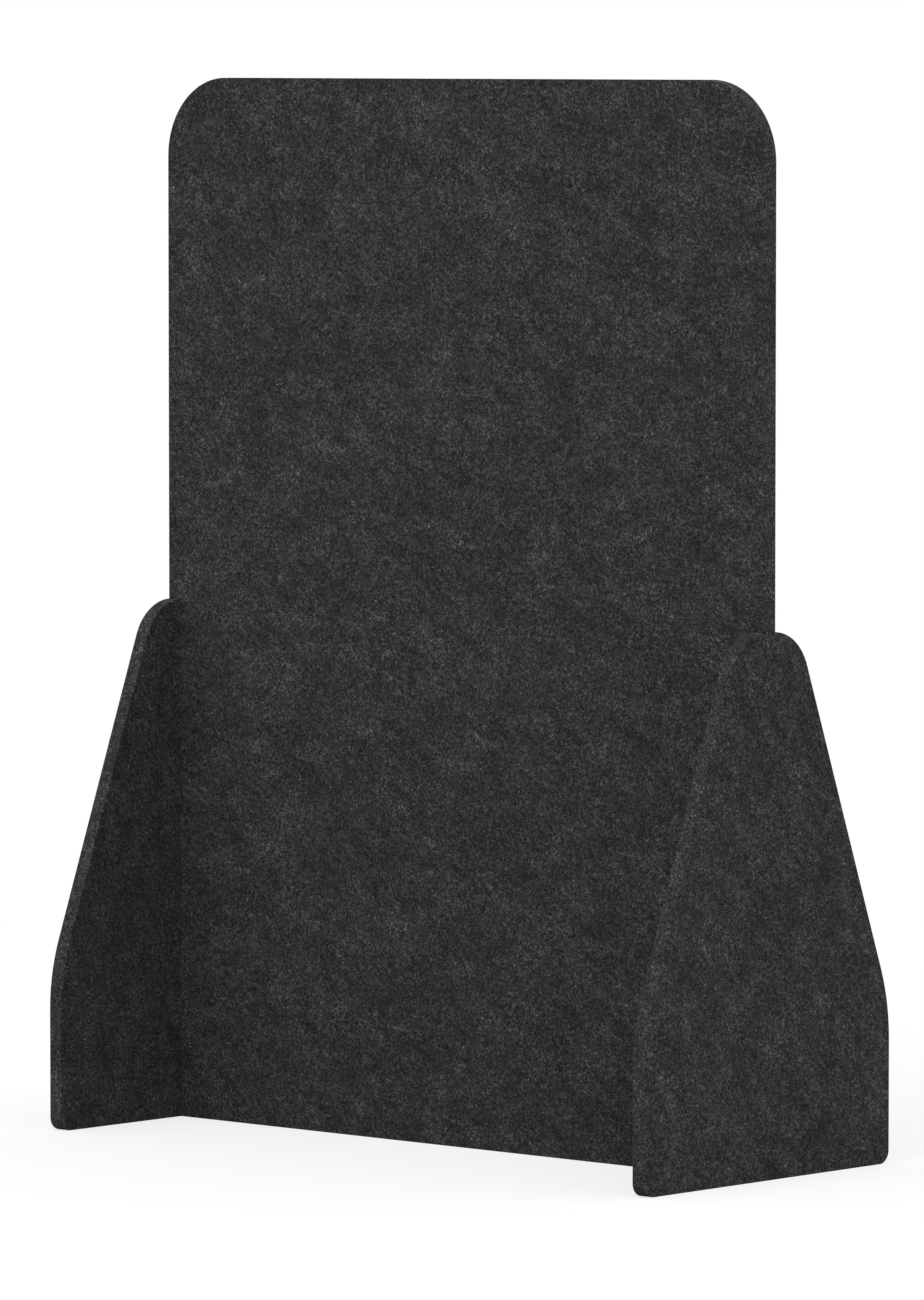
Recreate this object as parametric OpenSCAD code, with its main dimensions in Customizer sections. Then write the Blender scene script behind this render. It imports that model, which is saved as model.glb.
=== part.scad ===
// A free-standing acoustic divider screen: one tall felt board held upright between two side fins.
// The panel's lower corners are notched. It stands on the floor between the fins, and its
// shoulders rest on the tops of the fins. Cam fittings and dowels inside the boards join the fins
// to the panel's edges, so nothing shows on the panel's front or on the outsides of the fins.
// X runs along the panel, the front is at -Y, Z is up, and the origin is on the floor in the middle.

/* [Panel] */
// Width of the screen over the outer faces of its two fins
screen_w = 1200; // [800:10:1800]
// Height of the panel's top edge above the floor
screen_h = 1600; // [1200:10:2200]
// Thickness of the felt board that the panel and the fins are cut from
board_t = 24; // [20:1:36]
// Radius of the panel's two top corners
panel_corner_r = 120; // [20:5:300]

/* [Fins] */
// Depth of a fin on the floor, from its front edge to its rear edge
fin_depth = 550; // [400:10:800]
// Height of a fin, where it carries the panel's shoulder
fin_h = 800; // [600:10:1000]
// Height of the upright part of a fin's edge, measured to where its slope starts
fin_upright_h = 240; // [120:10:360]
// Depth of a fin's top edge, measured to where its slopes would reach it
fin_top_depth = 130; // [110:5:240]
// Radius of a fin's corners at the floor
fin_foot_r = 20; // [5:1:60]
// Radius of the bend between a fin's upright edge and its slope
fin_knee_r = 300; // [50:10:400]
// Radius of the bend between a fin's slope and its top edge
fin_top_r = 80; // [20:5:85]

/* [Cam fittings] */
// Heights of the cam fittings on each side, as shares of a fin's height
cam_height_shares = [0.15, 0.5, 0.85]; // [0.05:0.01:0.95]
// Distance from the panel's lower side edge to the axis of a cam
cam_edge = 34; // [24:1:45]
// Diameter of the blind hole in the panel's rear face that holds a cam
cam_bore_d = 15; // [14:0.5:20]
// How far a cam's rim reaches past the edge of its hole
cam_rim_w = 1.25; // [0.5:0.25:3]
// Thickness of a cam's rim, which lies on the panel's rear face
cam_rim_t = 0.8; // [0.5:0.1:1.5]
// Thickness of a cam's floor, under the head of its bolt
cam_floor_t = 1.1; // [0.8:0.1:2]
// How far a cam pulls its bolt in as it turns from open to locked
cam_pull = 1.2; // [0.6:0.1:2]
// Length of each bar of the cross slot in a cam's face
slot_l = 7.5; // [5:0.5:10]
// Width of each bar of the cross slot
slot_w = 1.5; // [1:0.1:2.5]
// Depth of the cross slot
slot_depth = 3; // [2:0.5:4]
// Length of the pointer in a cam's face, which points at the bolt when the cam is open
pointer_l = 2.5; // [1.5:0.5:3]
// Width of the pointer at its blunt end
pointer_w = 2.2; // [1:0.2:4]
// Depth of the pointer
pointer_depth = 0.4; // [0.2:0.1:0.8]

/* [Bolts and sleeves] */
// Diameter of the hole in the panel's side edge that a bolt passes through
bolt_hole_d = 8; // [7.5:0.5:10]
// Diameter of a bolt's ball head, which the cam holds
ball_d = 6.5; // [6:0.1:7]
// Diameter of a bolt's neck, behind its head
neck_d = 4; // [3:0.1:4.5]
// How far a bolt's neck runs on past the hole of its cam
neck_past = 1.5; // [1:0.5:4]
// Length of the ring that centres a bolt in its hole
ring_l = 2.5; // [1.5:0.5:5]
// Diameter of a bolt's shank
shank_d = 5.5; // [4.5:0.5:7]
// Thickness of the collar that stops a bolt at its sleeve
collar_t = 1.5; // [1:0.5:3]
// Diameter of a bolt's threaded end
thread_d = 6; // [5:0.5:7]
// Length of a bolt's threaded end
thread_l = 11; // [8:0.5:12]
// Diameter of the blind hole in a fin's inner face that holds a sleeve
sleeve_d = 10; // [9:0.5:13]
// Length of a sleeve
sleeve_l = 12; // [12:0.5:16]
// Length of one barb of a sleeve, along its axis
barb_l = 2; // [1.5:0.5:4]
// Depth of the barbs
barb_depth = 0.4; // [0.2:0.1:0.8]

/* [Dowels] */
// Heights of the dowels on each side, as shares of a fin's height
dowel_height_shares = [0.3, 0.7]; // [0.05:0.01:0.95]
// Diameter of a dowel and of its holes
dowel_d = 8; // [6:0.5:12]
// Length of a dowel inside the fin
dowel_in_fin = 12; // [8:1:16]
// Length of a dowel inside the panel
dowel_in_panel = 18; // [10:1:30]
// Width of the bevel around the ends of a dowel and of a bolt
end_bevel = 1; // [0.5:0.1:1.5]
// Number of glue grooves around a dowel
flutes = 10; // [6:1:14]
// Radius of a glue groove
flute_r = 0.5; // [0.3:0.1:0.8]

/* [Clearances] */
// Clearance around a cam, a bolt, a sleeve and a dowel in their holes
run_gap = 0.05; // [0.02:0.01:0.1]
// Clearance between a bolt's head or neck and the cam around it
ball_gap = 0.15; // [0.1:0.05:0.3]
// Spare depth at the end of the holes for sleeves and dowels
hole_spare = 1; // [0.5:0.25:2]

/* [Hidden] */
$fn = 96;
// How far a cut runs past the face that it opens
overrun = 1;
// How far a corner's round end reaches back into its outline, so that the two make one face
corner_lap = 4;
side_names = ["left", "right"];
side_signs = [-1, 1];
cam_levels = ["low", "middle", "high"];
dowel_levels = ["low", "high"];
cam_names = [for (s = side_names, l = cam_levels) str("cam_", s, "_", l)];
bolt_names = [for (s = side_names, l = cam_levels) str("bolt_", s, "_", l)];
sleeve_names = [for (s = side_names, l = cam_levels) str("sleeve_", s, "_", l)];
dowel_names = [for (s = side_names, l = dowel_levels) str("dowel_", s, "_", l)];

// The plane on each side where the panel's edge meets the fin's inner face
joint_x = screen_w / 2 - board_t;
rear_y = board_t / 2;
cam_heights = cam_height_shares * fin_h;
dowel_heights = dowel_height_shares * fin_h;
// The chamber in a cam, which is off centre by half the pull
ball_space_r = ball_d / 2 + ball_gap;
chamber_r = ball_space_r + cam_pull / 2;
neck_space = neck_d + 2 * ball_gap;
// How far a cam's hole goes past the axis of its bolt
cam_under = cam_floor_t + ball_space_r + run_gap;
cam_d = cam_bore_d - 2 * run_gap;
ring_d = bolt_hole_d - 2 * run_gap;
neck_end = cam_bore_d / 2 + neck_past - cam_edge;

felt_colour = [0.21, 0.21, 0.215];
zinc_colour = [0.62, 0.62, 0.6];
steel_colour = [0.7, 0.7, 0.72];
nylon_colour = [0.85, 0.84, 0.8];
beech_colour = [0.8, 0.64, 0.44];

function unit(v) = v / norm(v);
function corner_angle(a, p, b) = acos(unit(a - p) * unit(b - p));
// A corner's arc is held back where the named radius would run past the room beside it
function corner_r(a, p, b, r, room) = min(r, room * tan(corner_angle(a, p, b) / 2));
function arc_start(a, p, b, r) = r == 0 ? p : p + unit(a - p) * r / tan(corner_angle(a, p, b) / 2);
function arc_centre(a, p, b, r) = p + unit(unit(a - p) + unit(b - p)) * r / sin(corner_angle(a, p, b) / 2);

// The round end of one corner: the part of its circle that lies outside the line between the
// points where the arc starts and stops, and a little more
module corner_cap(a, p, b, r) {
    c = arc_centre(a, p, b, r);
    out = unit(p - c);
    along = [-out.y, out.x];
    chord = out * ((arc_start(a, p, b, r) - c) * out - corner_lap);
    intersection() {
        translate(c) circle(r);
        translate(c) polygon([chord - along * r, chord + along * r, (out + along) * r, (out - along) * r]);
    }
}

// An outline whose corners are rounded by true arcs, wherever their radius isn't zero
module rounded_outline(points, radii) {
    n = len(points);
    before = [for (i = [0:n - 1]) points[(i + n - 1) % n]];
    after = [for (i = [0:n - 1]) points[(i + 1) % n]];
    polygon([for (i = [0:n - 1]) each radii[i] == 0 ? [points[i]] : [
        arc_start(before[i], points[i], after[i], radii[i]),
        arc_start(after[i], points[i], before[i], radii[i])
    ]]);
    for (i = [0:n - 1]) {
        if (radii[i] > 0) corner_cap(before[i], points[i], after[i], radii[i]);
    }
}

// Puts a fitting at a height on one side. Its X axis points from the joint into the fin.
// The left side is the right side turned half way round about Y, so the same fittings serve both.
module at_joint(side, height) {
    translate([side * joint_x, 0, height]) rotate([0, side > 0 ? 0 : 180, 0]) children();
}

module along_x(x) {
    translate([x, 0, 0]) rotate([0, 90, 0]) children();
}

// The panel: full width above the fins, and narrower between them down to the floor
module panel_outline() {
    hw = screen_w / 2;
    r = min(panel_corner_r, hw, screen_h - fin_h);
    rounded_outline([
        [-joint_x, 0], [joint_x, 0], [joint_x, fin_h], [hw, fin_h],
        [hw, screen_h], [-hw, screen_h], [-hw, fin_h], [-joint_x, fin_h]
    ], [0, 0, 0, 0, r, r, 0, 0]);
}

module panel_holes() {
    for (side = side_signs) {
        for (height = cam_heights) {
            at_joint(side, height) {
                translate([-cam_edge, -cam_under, 0]) rotate([-90, 0, 0])
                    cylinder(d = cam_bore_d, h = cam_under + rear_y + overrun);
                along_x(-cam_edge) cylinder(d = bolt_hole_d, h = cam_edge + overrun);
            }
        }
        for (height = dowel_heights) {
            at_joint(side, height) along_x(-dowel_in_panel - hole_spare)
                cylinder(d = dowel_d, h = dowel_in_panel + hole_spare + overrun);
        }
    }
}

module divider_panel() {
    color(felt_colour) difference() {
        rotate([90, 0, 0]) linear_extrude(height = board_t, center = true) panel_outline();
        panel_holes();
    }
}

// A fin: a broad foot that rises upright and then leans in to a narrow top
module fin_outline() {
    foot = fin_depth / 2;
    top = fin_top_depth / 2;
    knee_p = [foot, fin_upright_h];
    top_p = [top, fin_h];
    knee_r = corner_r([foot, 0], knee_p, top_p, fin_knee_r, (fin_upright_h - fin_foot_r) / 2);
    top_r = corner_r(knee_p, top_p, [-top, fin_h], fin_top_r, top);
    rounded_outline([
        [-foot, 0], [foot, 0], knee_p, top_p, [-top, fin_h], [-foot, fin_upright_h]
    ], [fin_foot_r, fin_foot_r, knee_r, top_r, top_r, knee_r]);
}

module fin(side) {
    color(felt_colour) difference() {
        translate([side > 0 ? joint_x : -joint_x - board_t, 0, 0])
            rotate([90, 0, 90]) linear_extrude(height = board_t) fin_outline();
        for (height = cam_heights) {
            at_joint(side, height) along_x(-overrun)
                cylinder(d = sleeve_d, h = overrun + sleeve_l + hole_spare);
        }
        for (height = dowel_heights) {
            at_joint(side, height) along_x(-overrun)
                cylinder(d = dowel_d, h = overrun + dowel_in_fin + hole_spare);
        }
    }
}

module left_fin() {
    fin(-1);
}

module right_fin() {
    fin(1);
}

// The room for the bolt's ball: off centre, so that the wall draws the ball in as the cam turns,
// and open on the side that faces the bolt when the cam is open
module chamber_outline() {
    translate([-cam_pull / 2, 0]) circle(chamber_r);
    translate([-cam_bore_d, -ball_space_r]) square([cam_bore_d - cam_pull / 2, 2 * ball_space_r]);
}

// The room for the bolt's neck, over the half turn from locked to open
module neck_sweep_outline() {
    intersection() {
        circle(cam_bore_d);
        translate([-cam_bore_d, -cam_bore_d]) square([2 * cam_bore_d, cam_bore_d]);
    }
    translate([-cam_bore_d, -neck_space / 2]) square([2 * cam_bore_d, neck_space]);
}

module cam_face_marks() {
    linear_extrude(height = slot_depth + overrun) {
        square([slot_l, slot_w], center = true);
        square([slot_w, slot_l], center = true);
    }
    translate([-cam_d / 2, 0, slot_depth - pointer_depth]) linear_extrude(height = pointer_depth + overrun)
        polygon([[0, 0], [pointer_l, -pointer_w / 2], [pointer_l, pointer_w / 2]]);
}

// A cam, locked: its axis is along Y, and its face is at the panel's rear
module cam(side, height) {
    rim_low = rear_y + run_gap;
    face = rim_low + cam_rim_t;
    color(zinc_colour) at_joint(side, height) translate([-cam_edge, 0, 0]) rotate([-90, 0, 0])
        difference() {
            union() {
                translate([0, 0, run_gap - cam_under]) cylinder(d = cam_d, h = face + cam_under - run_gap);
                translate([0, 0, rim_low]) cylinder(d = cam_bore_d + 2 * cam_rim_w, h = cam_rim_t);
            }
            linear_extrude(height = 2 * ball_space_r, center = true) chamber_outline();
            linear_extrude(height = neck_space, center = true) neck_sweep_outline();
            translate([0, 0, face - slot_depth]) cam_face_marks();
        }
}

// A bolt, from its ball head in the cam to its threaded end in the sleeve
module bolt(side, height) {
    color(steel_colour) at_joint(side, height) {
        translate([-cam_edge, 0, 0]) sphere(d = ball_d);
        along_x(-cam_edge) cylinder(d = neck_d, h = cam_edge + neck_end);
        along_x(neck_end) cylinder(d = ring_d, h = ring_l);
        along_x(neck_end) cylinder(d = shank_d, h = -neck_end);
        along_x(-collar_t) cylinder(d = ring_d, h = collar_t);
        along_x(-collar_t) cylinder(d = thread_d, h = collar_t + thread_l - end_bevel);
        along_x(thread_l - end_bevel) cylinder(d1 = thread_d, d2 = thread_d - 2 * end_bevel, h = end_bevel);
    }
}

// A sleeve, pressed into the fin: barbed outside, and bored for the bolt's thread
module sleeve(side, height) {
    outer_r = sleeve_d / 2 - run_gap;
    barbs = floor(sleeve_l / barb_l);
    step = sleeve_l / barbs;
    color(nylon_colour) at_joint(side, height) along_x(0) difference() {
        rotate_extrude() polygon(concat(
            [[0, 0]],
            [for (i = [0:barbs - 1]) each [[outer_r, i * step], [outer_r - barb_depth, (i + 1) * step]]],
            [[0, sleeve_l]]
        ));
        translate([0, 0, -overrun]) cylinder(d = thread_d + 2 * run_gap, h = sleeve_l + 2 * overrun);
    }
}

// A dowel, half in the panel and half in the fin
module dowel(side, height) {
    r = dowel_d / 2 - run_gap;
    l = dowel_in_panel + dowel_in_fin;
    color(beech_colour) at_joint(side, height) along_x(-dowel_in_panel) intersection() {
        linear_extrude(height = l) difference() {
            circle(r);
            for (i = [0:flutes - 1]) {
                rotate([0, 0, i * 360 / flutes]) translate([r, 0]) circle(flute_r);
            }
        }
        rotate_extrude() polygon([[0, 0], [r - end_bevel, 0], [r, end_bevel], [r, l - end_bevel], [r - end_bevel, l], [0, l]]);
    }
}

divider_panel();
left_fin();
right_fin();
for (s = [0:1], i = [0:len(cam_levels) - 1]) {
    n = s * len(cam_levels) + i;
    cam(side_signs[s], cam_heights[i]);
    bolt(side_signs[s], cam_heights[i]);
    sleeve(side_signs[s], cam_heights[i]);
}
for (s = [0:1], i = [0:len(dowel_levels) - 1]) {
    n = s * len(dowel_levels) + i;
    dowel(side_signs[s], dowel_heights[i]);
}
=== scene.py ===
"""A free-standing acoustic divider screen of heathered felt board, dressed around its CAD frame."""

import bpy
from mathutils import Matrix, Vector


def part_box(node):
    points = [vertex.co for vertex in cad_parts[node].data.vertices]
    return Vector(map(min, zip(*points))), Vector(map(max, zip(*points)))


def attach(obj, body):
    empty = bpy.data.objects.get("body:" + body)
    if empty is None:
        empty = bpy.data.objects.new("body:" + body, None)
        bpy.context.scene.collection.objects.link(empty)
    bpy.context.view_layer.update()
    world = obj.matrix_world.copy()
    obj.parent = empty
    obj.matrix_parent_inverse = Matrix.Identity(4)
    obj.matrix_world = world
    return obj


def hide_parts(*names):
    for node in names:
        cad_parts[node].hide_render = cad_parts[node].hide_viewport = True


bl_info = {
    "name": "Acoustic divider screen",
    "version": (1, 0, 0),
    "blender": (4, 5, 0),
    "location": "3D View > Sidebar > Divider Screen",
    "description": "Builds the felt boards, fittings and studio of a free-standing divider screen",
    "category": "Add Mesh",
}

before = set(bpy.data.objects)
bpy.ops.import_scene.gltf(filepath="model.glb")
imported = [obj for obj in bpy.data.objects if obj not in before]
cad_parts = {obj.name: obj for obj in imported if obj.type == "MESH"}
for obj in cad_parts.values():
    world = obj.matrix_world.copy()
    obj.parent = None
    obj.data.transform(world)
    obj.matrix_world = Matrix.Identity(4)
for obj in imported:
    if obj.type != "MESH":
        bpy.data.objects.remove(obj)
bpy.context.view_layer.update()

import math
from typing import NamedTuple

import bmesh
import bpy
from bpy.props import FloatProperty, FloatVectorProperty, IntProperty, PointerProperty
from mathutils import Matrix, Vector, noise

MAIN_BODY = "screen"
SIDES = {"left": -1, "right": 1}
CAM_LEVELS = ("low", "middle", "high")
DOWEL_LEVELS = ("low", "high")

# The frame's own sizes
PANEL_LOW, PANEL_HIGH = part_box("divider_panel")
RIGHT_FIN_LOW, RIGHT_FIN_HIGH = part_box("right_fin")
# Clearance around the fittings in their holes
FIT_GAP = 0.00005
# How far a drill stands out of the face that it enters
OVERRUN = 0.002
HOLE_SEGMENTS = 40
# Steps of the shortest arc
MIN_ARC_STEPS = 4
# Profile of a bevel that is part of a circle
ROUND_PROFILE = 0.5
# Corners of a mesh that are closer than this are one
WELD_DISTANCE = 0.00001
# Edges that turn by more than this are left sharp
SHARP_ANGLE = math.radians(35)
# A face is one of a board's two broad ones where its normal has this share or more along their axis
BROAD_SHARE = 0.9
# The unevenness of a broad face: how much finer and weaker its second wave is than its first, its
# middle depth, and how far the waves swing it
SECOND_WAVE_RATE = 2.3
SECOND_WAVE_SHARE = 0.5
WAVE_MIDDLE = 0.75
WAVE_SWING = 0.5
# Faces across a softened edge of a cam
CAM_EDGE_STEPS = 2
SENSOR_WIDTH_MM = 36
CAMERA_REACH = 500
FLOOR_SEGMENTS = 64
WHITE = (1.0, 1.0, 1.0, 1.0)

# Directions in which an outline's own X, Y and Z axes lie when its board stands in place
PANEL_TURN = Matrix(((1, 0, 0, 0), (0, 0, -1, 0), (0, 1, 0, 0), (0, 0, 0, 1)))
FIN_TURN = Matrix(((0, 0, 1, 0), (1, 0, 0, 0), (0, 1, 0, 0), (0, 0, 0, 1)))


# Settings

class BoardSettings(bpy.types.PropertyGroup):
    """Curves and edges of the felt boards"""

    panel_corner_radius: FloatProperty(
        name="Panel corner radius", description="Radius of the panel's two top corners",
        default=0.12, min=0.02, max=0.3, unit="LENGTH")
    fin_upright_height: FloatProperty(
        name="Fin upright height", description="Height at which a fin's edge starts to lean in",
        default=0.24, min=0.1, max=0.4, unit="LENGTH")
    fin_top_depth: FloatProperty(
        name="Fin top depth", description="Depth of a fin's top before its corners are rounded",
        default=0.13, min=0.1, max=0.25, unit="LENGTH")
    fin_foot_radius: FloatProperty(
        name="Fin foot radius", description="Radius of a fin's corners at the floor",
        default=0.02, min=0.005, max=0.06, unit="LENGTH")
    fin_knee_radius: FloatProperty(
        name="Fin knee radius", description="Radius where a fin's edge starts to lean in",
        default=0.3, min=0.05, max=0.4, unit="LENGTH")
    fin_top_radius: FloatProperty(
        name="Fin top radius", description="Radius of a fin's corners under the panel",
        default=0.08, min=0.02, max=0.085, unit="LENGTH")
    cam_hole_radius: FloatProperty(
        name="Cam hole radius",
        description="Radius of the holes for the cams in the panel's rear face",
        default=0.0075, min=0.005, max=0.01, unit="LENGTH")
    hole_spare: FloatProperty(
        name="Hole spare", description="Spare depth behind the sleeves and the dowels",
        default=0.001, min=0.0, max=0.003, unit="LENGTH")
    arc_step: FloatProperty(
        name="Arc step", description="Turn between two points of a round outline",
        default=math.radians(3), min=math.radians(1), max=math.radians(15), subtype="ANGLE")
    arris_radius: FloatProperty(
        name="Arris radius", description="Softness of the cut edges",
        default=0.0005, min=0.0002, max=0.004, unit="LENGTH")
    arris_steps: IntProperty(
        name="Arris steps", description="Faces across a softened edge", default=3, min=1, max=6)
    grid_step: FloatProperty(
        name="Grid step", description="Size of the faces that carry a board's unevenness",
        default=0.01, min=0.005, max=0.05, unit="LENGTH")
    wave_height: FloatProperty(
        name="Wave height", description="Height of the slow unevenness of a board's faces",
        default=0.00016, min=0.0, max=0.001, unit="LENGTH")
    wave_length: FloatProperty(
        name="Wave length", description="Distance between two waves of the unevenness",
        default=0.055, min=0.01, max=0.3, unit="LENGTH")


class FeltSettings(bpy.types.PropertyGroup):
    """Colour and fibre of the felt"""

    shade: FloatProperty(
        name="Shade", description="Brightness of the middle felt tone",
        default=0.0327, min=0.0, max=1.0)
    cool_tint: FloatVectorProperty(
        name="Cool tint", description="Tint of the bluish patches", subtype="COLOR",
        size=3, default=(0.96, 0.965, 1.065), min=0.0, max=2.0)
    warm_tint: FloatVectorProperty(
        name="Warm tint", description="Tint of the olive patches", subtype="COLOR",
        size=3, default=(1.02, 1.035, 0.95), min=0.0, max=2.0)
    fibre_light: FloatProperty(
        name="Fibre light", description="How much lighter the pale fibres are",
        default=0.6, min=0.0, max=3.0)
    # Painted highlight: the cut edges get a lighter copy of the felt, which stands in for the extra
    # light that falls on them
    edge_highlight_gain: FloatProperty(
        name="Edge gain", description="How much lighter the cut edges are than the faces",
        default=1.09, min=0.5, max=2.0)
    relief: FloatProperty(
        name="Relief", description="Height of the fibres over the felt",
        default=0.0003, min=0.0, max=0.002, unit="LENGTH")
    panel_grain: FloatProperty(
        name="Panel grain", description="How far the grain of the panel's felt drops to the right",
        default=math.radians(21), subtype="ANGLE")
    left_fin_grain: FloatProperty(
        name="Left fin grain",
        description="How far the grain of the left fin's felt drops to the rear",
        default=math.radians(72), subtype="ANGLE")
    right_fin_grain: FloatProperty(
        name="Right fin grain",
        description="How far the grain of the right fin's felt drops to the rear",
        default=math.radians(47), subtype="ANGLE")


class FittingSettings(bpy.types.PropertyGroup):
    """Edges and colours of the fittings"""

    cam_edge_radius: FloatProperty(
        name="Cam edge radius", description="Softness of the cams' cast edges",
        default=0.00015, min=0.00005, max=0.0005, unit="LENGTH")
    zinc_colour: FloatVectorProperty(
        name="Zinc", description="Colour of the cams", subtype="COLOR", size=3,
        default=(0.45, 0.45, 0.44), min=0.0, max=1.0)
    steel_colour: FloatVectorProperty(
        name="Steel", description="Colour of the bolts", subtype="COLOR", size=3,
        default=(0.55, 0.55, 0.56), min=0.0, max=1.0)
    nylon_colour: FloatVectorProperty(
        name="Nylon", description="Colour of the sleeves", subtype="COLOR", size=3,
        default=(0.7, 0.69, 0.64), min=0.0, max=1.0)
    beech_colour: FloatVectorProperty(
        name="Beech", description="Colour of the dowels", subtype="COLOR", size=3,
        default=(0.6, 0.42, 0.25), min=0.0, max=1.0)


class StudioSettings(bpy.types.PropertyGroup):
    """Camera, floor and light"""

    camera_azimuth: FloatProperty(
        name="Camera azimuth",
        description="How far the camera stands round to the right of the front",
        default=math.radians(42.14), subtype="ANGLE")
    camera_elevation: FloatProperty(
        name="Camera elevation", description="How far the camera looks down",
        default=math.radians(3.92), subtype="ANGLE")
    camera_distance: FloatProperty(
        name="Camera distance", description="Distance from the camera to its target",
        default=13.394, min=2.0, unit="LENGTH")
    camera_target: FloatVectorProperty(
        name="Camera target", description="Point that the camera looks at", subtype="XYZ",
        size=3, default=(-0.0027, 0.0, 0.747))
    camera_lens: FloatProperty(
        name="Camera lens", description="Focal length in millimetres on a 36 mm sensor",
        default=247.9, min=20.0)
    sky_top: FloatProperty(
        name="Sky at the top", description="Strength of the dome straight above",
        default=1.22, min=0.0)
    sky_side: FloatProperty(
        name="Sky at the side", description="Strength of the dome at the horizon",
        default=0.74, min=0.0)
    sky_right: FloatProperty(
        name="Sky at the right",
        description="Extra strength of the dome at the right, which the left lacks", default=0.27)
    lamp_power: FloatProperty(
        name="Lamp power", description="Power of the soft lamp in watts",
        default=149.0, min=0.0)
    lamp_size: FloatProperty(
        name="Lamp size", description="Width of the soft lamp",
        default=4.2, min=0.1, unit="LENGTH")
    lamp_azimuth: FloatProperty(
        name="Lamp azimuth", description="How far the lamp stands round to the right of the front",
        default=math.radians(10), subtype="ANGLE")
    lamp_elevation: FloatProperty(
        name="Lamp elevation", description="How high the lamp stands",
        default=math.radians(55), subtype="ANGLE")
    lamp_distance: FloatProperty(
        name="Lamp distance", description="Distance of the lamp from the camera's target",
        default=7.0, min=1.0, unit="LENGTH")
    fade_start: FloatProperty(
        name="Fade start",
        description="Distance at which the floor starts to run out into the background",
        default=0.8, min=0.0, unit="LENGTH")
    fade_end: FloatProperty(
        name="Fade end", description="Distance at which the floor shows as plain white",
        default=3.5, min=1.0, unit="LENGTH")
    floor_size: FloatProperty(
        name="Floor size", description="Radius of the floor", default=60.0, min=5.0, unit="LENGTH")
    floor_shade: FloatProperty(
        name="Floor shade", description="How much light the floor throws back",
        default=0.57, min=0.0, max=1.0)
    floor_seen_shade: FloatProperty(
        name="Floor's seen shade", description="How pale the floor looks",
        default=0.88, min=0.0, max=1.0)
    floor_fade: FloatProperty(
        name="Floor fade", description="How far the floor fades into the white background",
        default=0.7, min=0.0, max=1.0)


# Node helpers

NOISE_MIDDLE = 0.5
NOISE_ROUGHNESS = 0.5


def put(tree, made, socket, value):
    """Sets one input of a node, by a link where the value comes from another node."""
    if isinstance(value, bpy.types.NodeSocket):
        tree.links.new(value, made.inputs[socket])
    else:
        made.inputs[socket].default_value = value


def reckon(tree, operation, *values):
    """One step of arithmetic on numbers or sockets."""
    made = tree.nodes.new("ShaderNodeMath")
    made.operation = operation
    for i, value in enumerate(values):
        put(tree, made, i, value)
    return made.outputs[0]


def limited(tree, value):
    """A value held between 0 and 1."""
    return reckon(tree, "MINIMUM", reckon(tree, "MAXIMUM", value, 0.0), 1.0)


def cloud(tree, place, size, seed, detail=1.0):
    """A soft noise whose lumps are about size wide."""
    made = tree.nodes.new("ShaderNodeTexNoise")
    made.noise_dimensions = "4D"
    put(tree, made, "Vector", place)
    put(tree, made, "W", seed)
    put(tree, made, "Scale", 1.0 / size)
    put(tree, made, "Detail", detail)
    put(tree, made, "Roughness", NOISE_ROUGHNESS)
    return made.outputs["Fac"]


def swing(tree, place, size, seed, weight, detail=1.0):
    """A soft noise around zero."""
    off = reckon(tree, "SUBTRACT", cloud(tree, place, size, seed, detail), NOISE_MIDDLE)
    return reckon(tree, "MULTIPLY", off, weight)


def total(tree, values):
    """The sum of numbers and sockets, of which the first is a socket."""
    made = values[0]
    for value in values[1:]:
        made = reckon(tree, "ADD", made, value)
    return made


def object_place(tree, stretch=(1.0, 1.0, 1.0), turn=(0.0, 0.0, 0.0)):
    """The piece's own coordinates, in metres: a pattern on them is turned, and drawn out along its
    own axes."""
    where = tree.nodes.new("ShaderNodeTexCoord")
    mapping = tree.nodes.new("ShaderNodeMapping")
    mapping.vector_type = "TEXTURE"
    put(tree, mapping, "Vector", where.outputs["Object"])
    put(tree, mapping, "Rotation", turn)
    put(tree, mapping, "Scale", stretch)
    return mapping.outputs["Vector"]


def layers(tree, place, parts, first_seed, seed_step):
    """The sum of soft noises around zero: each part is a size in metres and a weight."""
    return total(tree, [
        swing(tree, place, size, first_seed + seed_step * i, weight)
        for i, (size, weight) in enumerate(parts.values())
    ])


def mixed(tree, kind, factor, a, b):
    """A blend from a to b. The kind is FLOAT or RGBA."""
    made = tree.nodes.new("ShaderNodeMix")
    made.data_type = kind
    put(tree, made, "Factor", factor)
    put(tree, made, "A", a)
    put(tree, made, "B", b)
    return made.outputs["Result"]


def grey(shade):
    """A colour without a tint."""
    return (shade, shade, shade, 1.0)


def new_material(name):
    """Makes a material, and gives back its node tree and its shader."""
    made = bpy.data.materials.new(name)
    made.use_nodes = True
    tree = made.node_tree
    return tree, tree.nodes["Principled BSDF"]


def set_shader(tree, shader, values):
    """Sets several sockets of a shader by their names."""
    for socket, value in values.items():
        put(tree, shader, socket, value)


def tint_shader(tree, shader, colour, factor):
    """Gives a shader a colour whose brightness varies."""
    made = tree.nodes.new("ShaderNodeVectorMath")
    made.operation = "SCALE"
    put(tree, made, 0, colour)
    put(tree, made, "Scale", factor)
    put(tree, shader, "Base Color", made.outputs[0])


def relief(tree, shader, height, distance, strength):
    """A fine relief on a surface, as high as distance where strength is 1."""
    bump = tree.nodes.new("ShaderNodeBump")
    put(tree, bump, "Height", height)
    put(tree, bump, "Distance", distance)
    put(tree, bump, "Strength", strength)
    put(tree, shader, "Normal", bump.outputs["Normal"])


# Felt

# The fibres were carded along the felt, so its lumps are longer that way than across, and its
# single fibres a little
LUMP_STRETCH = (1.4, 0.9, 0.72)
FIBRE_STRETCH = (1.05, 0.95, 0.95)
# Soft lumps of tone in the felt: size in metres, and how strongly they lighten or darken it
FELT_LUMPS = {
    "clouds": (0.064, 0.54),
    "patches": (0.042, 0.68),
    "clumps": (0.022, 0.57),
    "tufts": (0.012, 0.68),
}
# Its grain, in the same way
FELT_GRAINS = {
    "grain": (0.0035, 3.14),
    "fine grain": (0.0013, 4.12),
}
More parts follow.
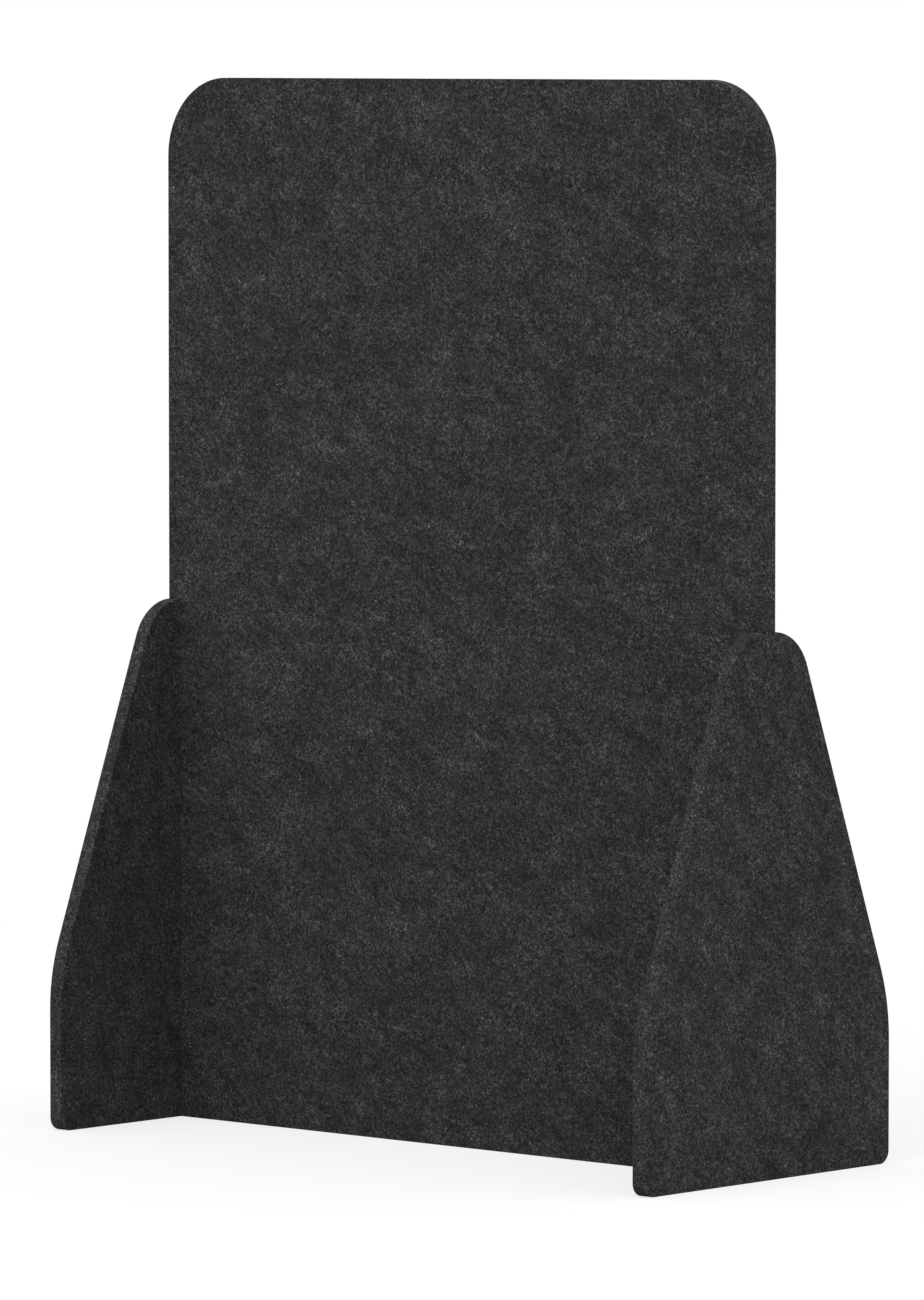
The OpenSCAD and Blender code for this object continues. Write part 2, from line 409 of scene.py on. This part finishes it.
# Seeds of the layers: the first of each kind, and the step to the next one
LUMP_SEED = 2.6
GRAIN_SEED = 31.3
LAYER_SEED_STEP = 3.1
FIBRE_SEED = 11.0
FIBRE_SEED_STEP = 13.0
TINT_SEED = 61.0
ZONE_SEED = 71.0
# Zones where the grain shows more, and less, and how much more it shows where the felt is lighter
ZONE_SIZE = 0.045
ZONE_WEIGHT = 0.7
ZONE_RISE = 0.4
# Pale curly fibres: size of their curls in metres, and their thickness as a share of the noise
FELT_FIBRES = ((0.012, 0.030), (0.009, 0.035), (0.0065, 0.045))
# Mean of their lines, which leaves the felt's middle tone as it is
FIBRE_MIDDLE = 0.12
# What breaks them up: its size against their curls, its seed after theirs, and how sharply it acts
BREAK_SIZE_RATE = 1.3
BREAK_SEED_STEP = 5.0
BREAK_RISE = 5.0
# Size of the tinted patches, how far the noise strays before the cool and the warm ones show, and
# how sharply they set in
TINT_SIZE = 0.04
COOL_DELAY = 0.055
WARM_DELAY = 0.11
TINT_RISE = 7.0
# Turn of the fins' felt from the panel's, about Z
FIN_HEADING = math.radians(90)
FELT_SHADER = {
    "Roughness": 1.0, "Specular IOR Level": 0.03, "Sheen Weight": 0.006, "Sheen Roughness": 0.5,
}
FELT_RELIEF_STRENGTH = 0.6


def curly_fibres(tree, place, size, thickness, seed):
    """Broken curly lines: where a smooth noise crosses its middle, and another lets it show."""
    off = reckon(tree, "ABSOLUTE", swing(tree, place, size, seed, 1.0))
    line = limited(tree, reckon(tree, "SUBTRACT", 1.0, reckon(tree, "DIVIDE", off, thickness)))
    shown = limited(tree, swing(
        tree, place, size * BREAK_SIZE_RATE, seed + BREAK_SEED_STEP, BREAK_RISE, detail=0.0))
    return reckon(tree, "MULTIPLY", line, shown)


def felt_material(name, look, grain_turn, highlight_gain):
    """Needled felt: black, grey and pale fibres in lumps of every size, with faint cool and olive
    patches."""
    tree, shader = new_material(name)
    lump_place = object_place(tree, LUMP_STRETCH, grain_turn)
    place = object_place(tree, FIBRE_STRETCH, grain_turn)
    lumps = layers(tree, lump_place, FELT_LUMPS, LUMP_SEED, LAYER_SEED_STEP)
    grains = layers(tree, place, FELT_GRAINS, GRAIN_SEED, LAYER_SEED_STEP)
    fibres = 0.0
    for i, (size, thickness) in enumerate(FELT_FIBRES):
        lines = curly_fibres(tree, place, size, thickness, FIBRE_SEED + FIBRE_SEED_STEP * i)
        fibres = reckon(tree, "MAXIMUM", lines, fibres)
    pale = reckon(tree, "SUBTRACT", fibres, FIBRE_MIDDLE)
    pale = reckon(tree, "MULTIPLY", pale, look.fibre_light)
    zone = total(tree, [
        swing(tree, lump_place, ZONE_SIZE, ZONE_SEED, ZONE_WEIGHT),
        reckon(tree, "MULTIPLY", lumps, ZONE_RISE), 1.0,
    ])
    detail = reckon(tree, "MULTIPLY", reckon(tree, "ADD", grains, pale), zone)
    tone = reckon(tree, "ADD", lumps, detail)
    # The highlight gain is 1 on the faces; on the cut edges it paints a highlight into the felt's
    # colour
    brightness = reckon(tree, "MULTIPLY", reckon(tree, "EXPONENT", tone), look.shade * highlight_gain)

    stray = swing(tree, lump_place, TINT_SIZE, TINT_SEED, 1.0)
    tint = WHITE
    tints = ((1.0, COOL_DELAY, look.cool_tint), (-1.0, WARM_DELAY, look.warm_tint))
    for side, delay, shade in tints:
        past = reckon(tree, "SUBTRACT", reckon(tree, "MULTIPLY", stray, side), delay)
        shown = limited(tree, reckon(tree, "MULTIPLY", past, TINT_RISE))
        tint = mixed(tree, "RGBA", shown, tint, (*shade, 1.0))
    tint_shader(tree, shader, tint, brightness)
    set_shader(tree, shader, FELT_SHADER)
    relief(tree, shader, tone, look.relief, FELT_RELIEF_STRENGTH)


# Metal, nylon and wood of the fittings

class Finish(NamedTuple):
    """A cast, drawn or moulded finish. A layer of noise is its size in metres, its seed and its
    weight."""

    stretch: tuple    # how far the pattern is drawn out along X, Y and Z
    tones: tuple      # layers that vary the colour's brightness
    gloss: tuple      # layer that varies the roughness
    roughness: float
    skin: tuple       # size and seed of the relief
    skin_height: float
    fixed: dict       # the shader's other values


SKIN_STRENGTH = 0.4
FINISHES = {
    # Die-cast zinc under nickel: satin, with a fine cast grain and faint stains
    "satin_zinc": Finish(
        stretch=(1.0, 1.0, 1.0), tones=((0.004, 2.0, 0.25), (0.0009, 5.0, 0.2)),
        gloss=(0.003, 9.0, 0.25), roughness=0.36, skin=(0.0004, 14.0), skin_height=0.00001,
        fixed={"Metallic": 1.0}),
    # Bright zinc-plated steel, drawn along the bolt
    "bright_steel": Finish(
        stretch=(7.0, 1.0, 1.0), tones=((0.001, 3.0, 0.3),),
        gloss=(0.0008, 6.0, 0.4), roughness=0.3, skin=(0.0003, 8.0), skin_height=0.00002,
        fixed={"Metallic": 1.0}),
    # Natural nylon, a little cloudy inside, with a moulded skin
    "natural_nylon": Finish(
        stretch=(1.0, 1.0, 1.0), tones=((0.003, 4.0, 0.2),),
        gloss=(0.002, 7.0, 0.3), roughness=0.45, skin=(0.0005, 12.0), skin_height=0.00002,
        fixed={"Subsurface Weight": 0.15, "Subsurface Radius": (0.002, 0.002, 0.0015)}),
}
# Turned beech: layers as above, drawn out along the dowel
BEECH_STRETCH = (12.0, 1.0, 1.0)
BEECH_GRAIN = (0.0007, 2.0, 0.9)
BEECH_BANDS = (0.003, 5.0, 0.5)
FLECK_STRETCH = (3.5, 1.0, 1.0)
FLECKS = (0.0009, 9.0, 4.0)
FLECK_TONE = -0.35
BEECH_ROUGHNESS = 0.6
BEECH_SPECULAR = 0.3
BEECH_RELIEF = 0.00005
BEECH_RELIEF_STRENGTH = 0.6


def fitting_material(name, colour):
    """Metal or nylon, with its finish."""
    finish = FINISHES[name]
    tree, shader = new_material(name)
    place = object_place(tree, finish.stretch)
    tone = total(tree, [swing(tree, place, *layer) for layer in finish.tones])
    tint_shader(tree, shader, colour, reckon(tree, "ADD", tone, 1.0))
    gloss = swing(tree, place, *finish.gloss)
    put(tree, shader, "Roughness", reckon(tree, "ADD", gloss, finish.roughness))
    set_shader(tree, shader, finish.fixed)
    relief(tree, shader, cloud(tree, place, *finish.skin), finish.skin_height, SKIN_STRENGTH)


def beech_material(colour):
    """Turned beech: fine grain along the dowel, with short darker flecks."""
    tree, shader = new_material("turned_beech")
    place = object_place(tree, BEECH_STRETCH)
    grain = swing(tree, place, *BEECH_GRAIN)
    fleck = limited(tree, swing(tree, object_place(tree, FLECK_STRETCH), *FLECKS))
    tone = total(tree, [
        grain, swing(tree, place, *BEECH_BANDS), reckon(tree, "MULTIPLY", fleck, FLECK_TONE)])
    tint_shader(tree, shader, colour, reckon(tree, "EXPONENT", tone))
    put(tree, shader, "Roughness", reckon(tree, "ADD", grain, BEECH_ROUGHNESS))
    put(tree, shader, "Specular IOR Level", BEECH_SPECULAR)
    relief(tree, shader, tone, BEECH_RELIEF, BEECH_RELIEF_STRENGTH)


# Shapes

def corner_arc(before, corner, after, radius):
    """Where the arc of one corner starts, its centre, and how far it turns, as seen from above."""
    back = (before - corner).normalized()
    ahead = (after - corner).normalized()
    half = back.angle(ahead) / 2
    start = corner + back * (radius / math.tan(half))
    centre = corner + (back + ahead).normalized() * (radius / math.sin(half))
    return start, centre, math.pi - 2 * half


def draw_outline(bm, corners, step):
    """Draws a closed outline anticlockwise and fills it. Each corner is (x, y, radius), and a
    radius of zero leaves it sharp."""
    points = [Vector((x, y)) for x, y, _ in corners]
    first = last = None
    for i, (_, _, radius) in enumerate(corners):
        if radius > 0:
            after = points[(i + 1) % len(points)]
            start, centre, turn = corner_arc(points[i - 1], points[i], after, radius)
        else:
            start = points[i]
        here = bm.verts.new(start.to_3d())
        if last is None:
            first = here
        else:
            bm.edges.new((last, here))
        last = here
        if radius > 0:
            arc = bmesh.ops.spin(
                bm, geom=[here], cent=centre.to_3d(), axis=(0, 0, 1), dvec=(0, 0, 0),
                angle=turn, steps=max(MIN_ARC_STEPS, round(turn / step)), use_duplicate=False)
            last = next(v for v in arc["geom_last"] if isinstance(v, bmesh.types.BMVert))
    bm.edges.new((last, first))
    bmesh.ops.contextual_create(bm, geom=bm.edges[:])


def soften_rims(bm, radius, steps):
    """Rounds the edges around a board's two faces. The rounding is smooth, and the flats beside it
    stay flat."""
    rim = [e for e in bm.edges if sum(abs(f.normal.z) > BROAD_SHARE for f in e.link_faces) == 1]
    out = bmesh.ops.bevel(
        bm, geom=rim, offset=radius, offset_type="OFFSET", affect="EDGES",
        segments=steps, profile=ROUND_PROFILE, material=-1, clamp_overlap=True)
    strips = set(out["faces"])
    for f in bm.faces:
        f.smooth = True
    for e in bm.edges:
        if sum(f in strips for f in e.link_faces) == 1:
            e.smooth = False


def cut_grid(bm, step):
    """Cuts a flat board into squares, so that its faces can be uneven."""
    for axis in (0, 1):
        values = [v.co[axis] for v in bm.verts]
        low, high = min(values), max(values)
        count = round((high - low) / step)
        normal = Vector((axis == 0, axis == 1, 0))
        for i in range(1, count):
            place = normal * (low + (high - low) * i / count)
            bmesh.ops.bisect_plane(
                bm, geom=bm.verts[:] + bm.edges[:] + bm.faces[:], dist=WELD_DISTANCE,
                plane_co=place, plane_no=normal)


def new_piece(name, bm):
    """Makes an object of a drawn shape, and frees the drawing."""
    mesh = bpy.data.meshes.new(name)
    bm.to_mesh(mesh)
    bm.free()
    piece = bpy.data.objects.new(name, mesh)
    bpy.context.scene.collection.objects.link(piece)
    return piece


def drill(piece, holes):
    """Drills round holes that don't touch each other. Each is (one end, other end, radius)."""
    bm = bmesh.new()
    for near, far, radius in holes:
        along = far - near
        aim = along.to_track_quat("Z", "Y").to_matrix().to_4x4()
        place = Matrix.Translation((near + far) / 2) @ aim
        bmesh.ops.create_cone(
            bm, cap_ends=True, segments=HOLE_SEGMENTS, radius1=radius, radius2=radius,
            depth=along.length, matrix=place)
    cutter = new_piece("drill", bm)
    cut = piece.modifiers.new("holes", "BOOLEAN")
    cut.object = cutter
    cut.operation = "DIFFERENCE"
    cut.solver = "EXACT"
    with bpy.context.temp_override(object=piece, active_object=piece):
        bpy.ops.object.modifier_apply(modifier=cut.name)
    bpy.data.objects.remove(cutter)


def clean_cuts(bm):
    """Welds the doubled corners that drilling leaves, and takes away those that only split an
    edge."""
    bmesh.ops.remove_doubles(bm, verts=bm.verts[:], dist=WELD_DISTANCE)
    bmesh.ops.dissolve_degenerate(bm, edges=bm.edges[:], dist=WELD_DISTANCE)
    bmesh.ops.dissolve_verts(bm, verts=[v for v in bm.verts if len(v.link_edges) == 2])


def make_uneven(bm, boards, thin_axis):
    """Gives a board's two faces the slow unevenness of felt, always inwards."""
    low = min(v.co[thin_axis] for v in bm.verts)
    high = max(v.co[thin_axis] for v in bm.verts)
    for v in bm.verts:
        face = (v.co[thin_axis] > high - FIT_GAP) - (v.co[thin_axis] < low + FIT_GAP)
        if face:
            place = v.co / boards.wave_length
            lift = noise.noise(place) + SECOND_WAVE_SHARE * noise.noise(place * SECOND_WAVE_RATE)
            v.co[thin_axis] -= face * boards.wave_height * (WAVE_MIDDLE + WAVE_SWING * lift)


def felt_board(name, corners, low, high, turn, thin_axis, hole_groups):
    """Cuts a board from its outline, softens its edges, stands it in place and drills it."""
    boards = bpy.context.scene.divider_boards
    bm = bmesh.new()
    draw_outline(bm, corners, boards.arc_step)
    bmesh.ops.translate(bm, verts=bm.verts[:], vec=(0, 0, low))
    out = bmesh.ops.extrude_face_region(bm, geom=bm.faces[:])
    lifted = [v for v in out["geom"] if isinstance(v, bmesh.types.BMVert)]
    bmesh.ops.translate(bm, verts=lifted, vec=(0, 0, high - low))
    bmesh.ops.recalc_face_normals(bm, faces=bm.faces[:])
    bm.normal_update()
    soften_rims(bm, boards.arris_radius, boards.arris_steps)
    cut_grid(bm, boards.grid_step)
    bmesh.ops.transform(bm, matrix=turn, verts=bm.verts[:])
    bmesh.ops.recalc_face_normals(bm, faces=bm.faces[:])
    piece = new_piece(name, bm)
    for holes in hole_groups:
        drill(piece, holes)
    bm = bmesh.new()
    bm.from_mesh(piece.data)
    clean_cuts(bm)
    if any(len(e.link_faces) != 2 for e in bm.edges):
        raise RuntimeError(f"{name} isn't closed")
    for e in bm.edges:
        if e.calc_face_angle(0) > SHARP_ANGLE:
            e.smooth = False
    for f in bm.faces:
        f.material_index = int(abs(f.normal[thin_axis]) < BROAD_SHARE)
    make_uneven(bm, boards, thin_axis)
    bm.to_mesh(piece.data)
    bm.free()
    piece.data.materials.append(bpy.data.materials[f"heather_{name}"])
    # Second slot: the cut edges, whose felt carries a painted highlight
    piece.data.materials.append(bpy.data.materials[f"cut_{name}"])
    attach(piece, MAIN_BODY)
    return piece


def fitting_span(node):
    """A fitting's ends along X, its middle, and the radius of its hole."""
    low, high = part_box(node)
    return low.x, high.x, (low + high) / 2, (high.z - low.z) / 2 + FIT_GAP


# Studio

def set_up(thing, target, azimuth, elevation, distance):
    """Stands a camera or a lamp around the target, and turns it to it."""
    level = math.cos(elevation)
    back = Vector((math.sin(azimuth) * level, -math.cos(azimuth) * level, math.sin(elevation)))
    thing.location = Vector(target) + back * distance
    thing.rotation_euler = back.to_track_quat("Z", "Y").to_euler()
    bpy.context.scene.collection.objects.link(thing)


def add_camera(studio):
    camera = bpy.data.objects.new("camera", bpy.data.cameras.new("camera"))
    camera.data.lens = studio.camera_lens
    camera.data.sensor_width = SENSOR_WIDTH_MM
    camera.data.clip_end = CAMERA_REACH
    set_up(
        camera, studio.camera_target, studio.camera_azimuth, studio.camera_elevation,
        studio.camera_distance)
    bpy.context.scene.camera = camera


def seen_ray(tree):
    """1 for a ray that shows the background itself, to the camera or in metal and glass."""
    path = tree.nodes.new("ShaderNodeLightPath")
    seen = reckon(tree, "MAXIMUM", path.outputs["Is Camera Ray"], path.outputs["Is Glossy Ray"])
    return reckon(tree, "MAXIMUM", seen, path.outputs["Is Transmission Ray"])


def add_sky(studio):
    """A soft dome, brighter above than at the side and at the right than at the left, that shows as
    plain white."""
    world = bpy.data.worlds.new("studio sky")
    world.use_nodes = True
    tree = world.node_tree
    tree.nodes.clear()
    where = tree.nodes.new("ShaderNodeTexCoord")
    axes = tree.nodes.new("ShaderNodeSeparateXYZ")
    put(tree, axes, "Vector", where.outputs["Generated"])
    up = limited(tree, axes.outputs["Z"])
    light = total(tree, [
        reckon(tree, "MULTIPLY", up, studio.sky_top - studio.sky_side),
        reckon(tree, "MULTIPLY", axes.outputs["X"], studio.sky_right), studio.sky_side,
    ])
    shown = tree.nodes.new("ShaderNodeBackground")
    put(tree, shown, "Color", WHITE)
    put(tree, shown, "Strength", mixed(tree, "FLOAT", seen_ray(tree), light, 1.0))
    out = tree.nodes.new("ShaderNodeOutputWorld")
    tree.links.new(shown.outputs[0], out.inputs["Surface"])
    bpy.context.scene.world = world


def add_floor(studio):
    """A pale floor that throws light back and keeps the screen's soft shadow, and that runs out
    into the white background."""
    bm = bmesh.new()
    bmesh.ops.create_circle(
        bm, cap_ends=True, segments=FLOOR_SEGMENTS, radius=studio.floor_size)
    bmesh.ops.translate(bm, verts=bm.verts[:], vec=(0, 0, -FIT_GAP))
    floor = new_piece("studio_floor", bm)
    tree, shader = new_material("studio_floor")
    seen = seen_ray(tree)
    shade = mixed(tree, "RGBA", seen, grey(studio.floor_shade), grey(studio.floor_seen_shade))
    set_shader(tree, shader, {"Base Color": shade, "Roughness": 1.0, "Specular IOR Level": 0.0})
    where = tree.nodes.new("ShaderNodeTexCoord")
    away = tree.nodes.new("ShaderNodeVectorMath")
    away.operation = "LENGTH"
    put(tree, away, 0, where.outputs["Object"])
    far = tree.nodes.new("ShaderNodeMapRange")
    far.interpolation_type = "SMOOTHSTEP"
    put(tree, far, "Value", away.outputs["Value"])
    put(tree, far, "From Min", studio.fade_start)
    put(tree, far, "From Max", studio.fade_end)
    put(tree, far, "To Min", studio.floor_fade)
    put(tree, far, "To Max", 1.0)
    white = tree.nodes.new("ShaderNodeEmission")
    put(tree, white, "Color", WHITE)
    mix = tree.nodes.new("ShaderNodeMixShader")
    put(tree, mix, "Fac", reckon(tree, "MULTIPLY", seen, far.outputs["Result"]))
    tree.links.new(shader.outputs[0], mix.inputs[1])
    tree.links.new(white.outputs[0], mix.inputs[2])
    out = tree.nodes["Material Output"]
    tree.links.new(mix.outputs[0], out.inputs["Surface"])
    floor.data.materials.append(bpy.data.materials["studio_floor"])


def add_lamp(studio):
    """One broad soft lamp, high in front."""
    lamp = bpy.data.objects.new("soft_lamp", bpy.data.lights.new("soft_lamp", "AREA"))
    lamp.data.shape = "DISK"
    lamp.data.size = studio.lamp_size
    lamp.data.energy = studio.lamp_power
    set_up(
        lamp, studio.camera_target, studio.lamp_azimuth, studio.lamp_elevation,
        studio.lamp_distance)


# Operators

class DIVIDER_OT_materials(bpy.types.Operator):
    """Make the felt, zinc, steel, nylon and beech"""

    bl_idname = "divider.materials"
    bl_label = "Materials"

    def execute(self, context):
        fittings = context.scene.divider_fittings
        felt = context.scene.divider_felt
        grain_turns = {
            "felt_panel": (0.0, felt.panel_grain, 0.0),
            "felt_left_fin": (0.0, felt.left_fin_grain, FIN_HEADING),
            "felt_right_fin": (0.0, felt.right_fin_grain, FIN_HEADING),
        }
        for board, grain_turn in grain_turns.items():
            felt_material(f"heather_{board}", felt, grain_turn, 1.0)
            # The cut edges' copy of the felt is made lighter by the painted highlight gain
            felt_material(f"cut_{board}", felt, grain_turn, felt.edge_highlight_gain)
        fitting_material("satin_zinc", fittings.zinc_colour)
        fitting_material("bright_steel", fittings.steel_colour)
        fitting_material("natural_nylon", fittings.nylon_colour)
        beech_material(fittings.beech_colour)
        return {"FINISHED"}


class DIVIDER_OT_panel(bpy.types.Operator):
    """Cut the tall panel, with its round top corners and its notches for the fins"""

    bl_idname = "divider.panel"
    bl_label = "Felt panel"

    def execute(self, context):
        boards = context.scene.divider_boards
        half, top = PANEL_HIGH.x, PANEL_HIGH.z
        notch_x, notch_z = RIGHT_FIN_LOW.x, RIGHT_FIN_HIGH.z
        r = boards.panel_corner_radius
        corners = [
            (-notch_x, 0, 0), (notch_x, 0, 0), (notch_x, notch_z, 0), (half, notch_z, 0),
            (half, top, r), (-half, top, r), (-half, notch_z, 0), (-notch_x, notch_z, 0),
        ]
        cam_holes, edge_holes = [], []
        for side, sign in SIDES.items():
            outside = Vector((sign * (notch_x + OVERRUN), 0, 0))
            for level in CAM_LEVELS:
                low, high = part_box(f"cam_{side}_{level}")
                middle = (low + high) / 2
                cam_holes.append((
                    Vector((middle.x, low.y - FIT_GAP, middle.z)),
                    Vector((middle.x, PANEL_HIGH.y + OVERRUN, middle.z)), boards.cam_hole_radius))
                *_, radius = fitting_span(f"bolt_{side}_{level}")
                up = Vector((0, 0, middle.z))
                edge_holes.append((Vector((middle.x, 0, middle.z)), outside + up, radius))
            for level in DOWEL_LEVELS:
                low_x, high_x, middle, radius = fitting_span(f"dowel_{side}_{level}")
                inner = min(low_x * sign, high_x * sign) - boards.hole_spare
                up = Vector((0, 0, middle.z))
                edge_holes.append((Vector((sign * inner, 0, middle.z)), outside + up, radius))
        piece = felt_board(
            "felt_panel", corners, -PANEL_HIGH.y, -PANEL_LOW.y, PANEL_TURN, 1,
            [cam_holes, edge_holes])
        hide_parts("divider_panel")
        return {"FINISHED"}


class DIVIDER_OT_fins(bpy.types.Operator):
    """Cut the two side fins, broad at the floor and leaning in to a narrow top"""

    bl_idname = "divider.fins"
    bl_label = "Felt fins"

    def execute(self, context):
        boards = context.scene.divider_boards
        foot, knee = RIGHT_FIN_HIGH.y, boards.fin_upright_height
        top, height = boards.fin_top_depth / 2, RIGHT_FIN_HIGH.z
        foot_r, knee_r = boards.fin_foot_radius, boards.fin_knee_radius
        top_r = boards.fin_top_radius
        corners = [
            (-foot, 0, foot_r), (foot, 0, foot_r), (foot, knee, knee_r),
            (top, height, top_r), (-top, height, top_r), (-foot, knee, knee_r),
        ]
        for side, sign in SIDES.items():
            low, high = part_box(f"{side}_fin")
            inner = low.x if sign > 0 else high.x
            holes = []
            held = [f"sleeve_{side}_{level}" for level in CAM_LEVELS]
            held += [f"dowel_{side}_{level}" for level in DOWEL_LEVELS]
            for node in held:
                low_x, high_x, middle, radius = fitting_span(node)
                deep = max(low_x * sign, high_x * sign) + boards.hole_spare
                outside = inner - sign * OVERRUN
                holes.append((
                    Vector((sign * deep, 0, middle.z)), Vector((outside, 0, middle.z)), radius))
            piece = felt_board(f"felt_{side}_fin", corners, low.x, high.x, FIN_TURN, 0, [holes])
            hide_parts(f"{side}_fin")
        return {"FINISHED"}


class DIVIDER_OT_fittings(bpy.types.Operator):
    """Give the cams, bolts, sleeves and dowels of the frame their finishes"""

    bl_idname = "divider.fittings"
    bl_label = "Fittings"

    def execute(self, context):
        radius = context.scene.divider_fittings.cam_edge_radius
        finishes = {
            "cam": "satin_zinc", "bolt": "bright_steel", "sleeve": "natural_nylon",
            "dowel": "turned_beech",
        }
        for name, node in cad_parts.items():
            kind = name.split("_")[0]
            if kind not in finishes:
                continue
            if not node.material_slots:
                raise RuntimeError(f"{name} has no material slot")
            for slot in node.material_slots:
                slot.material = bpy.data.materials[finishes[kind]]
            if kind == "cam":
                weld = node.modifiers.new("weld", "WELD")
                weld.merge_threshold = WELD_DISTANCE
                bevel = node.modifiers.new("cast edges", "BEVEL")
                bevel.width = radius
                bevel.segments = CAM_EDGE_STEPS
                bevel.limit_method = "ANGLE"
                bevel.angle_limit = SHARP_ANGLE
        return {"FINISHED"}


class DIVIDER_OT_studio(bpy.types.Operator):
    """Set up the camera, the pale floor and the soft light"""

    bl_idname = "divider.studio"
    bl_label = "Studio"

    def execute(self, context):
        studio = context.scene.divider_studio
        add_camera(studio)
        add_sky(studio)
        add_floor(studio)
        add_lamp(studio)
        context.scene.view_settings.view_transform = "Standard"
        return {"FINISHED"}


class DIVIDER_PT_screen(bpy.types.Panel):
    """Settings and steps of the divider screen"""

    bl_idname = "DIVIDER_PT_screen"
    bl_label = "Acoustic divider screen"
    bl_space_type = "VIEW_3D"
    bl_region_type = "UI"
    bl_category = "Divider Screen"

    def draw(self, context):
        for operator in OPERATORS:
            self.layout.operator(operator.bl_idname)
        for group in SETTINGS:
            box = self.layout.box()
            box.label(text=group.__doc__)
            for name in group.__annotations__:
                box.prop(getattr(context.scene, SETTINGS[group]), name)


OPERATORS = (
    DIVIDER_OT_materials, DIVIDER_OT_panel, DIVIDER_OT_fins, DIVIDER_OT_fittings,
    DIVIDER_OT_studio,
)
SETTINGS = {
    BoardSettings: "divider_boards",
    FeltSettings: "divider_felt",
    FittingSettings: "divider_fittings",
    StudioSettings: "divider_studio",
}


def register():
    for group, name in SETTINGS.items():
        bpy.utils.register_class(group)
        setattr(bpy.types.Scene, name, PointerProperty(type=group))
    for operator in OPERATORS:
        bpy.utils.register_class(operator)
    bpy.utils.register_class(DIVIDER_PT_screen)


def unregister():
    bpy.utils.unregister_class(DIVIDER_PT_screen)
    for operator in reversed(OPERATORS):
        bpy.utils.unregister_class(operator)
    for group, name in SETTINGS.items():
        delattr(bpy.types.Scene, name)
        bpy.utils.unregister_class(group)


def main():
    register()
    bpy.ops.divider.materials()
    bpy.ops.divider.panel()
    bpy.ops.divider.fins()
    bpy.ops.divider.fittings()
    bpy.ops.divider.studio()


if __name__ == "__main__":
    main()
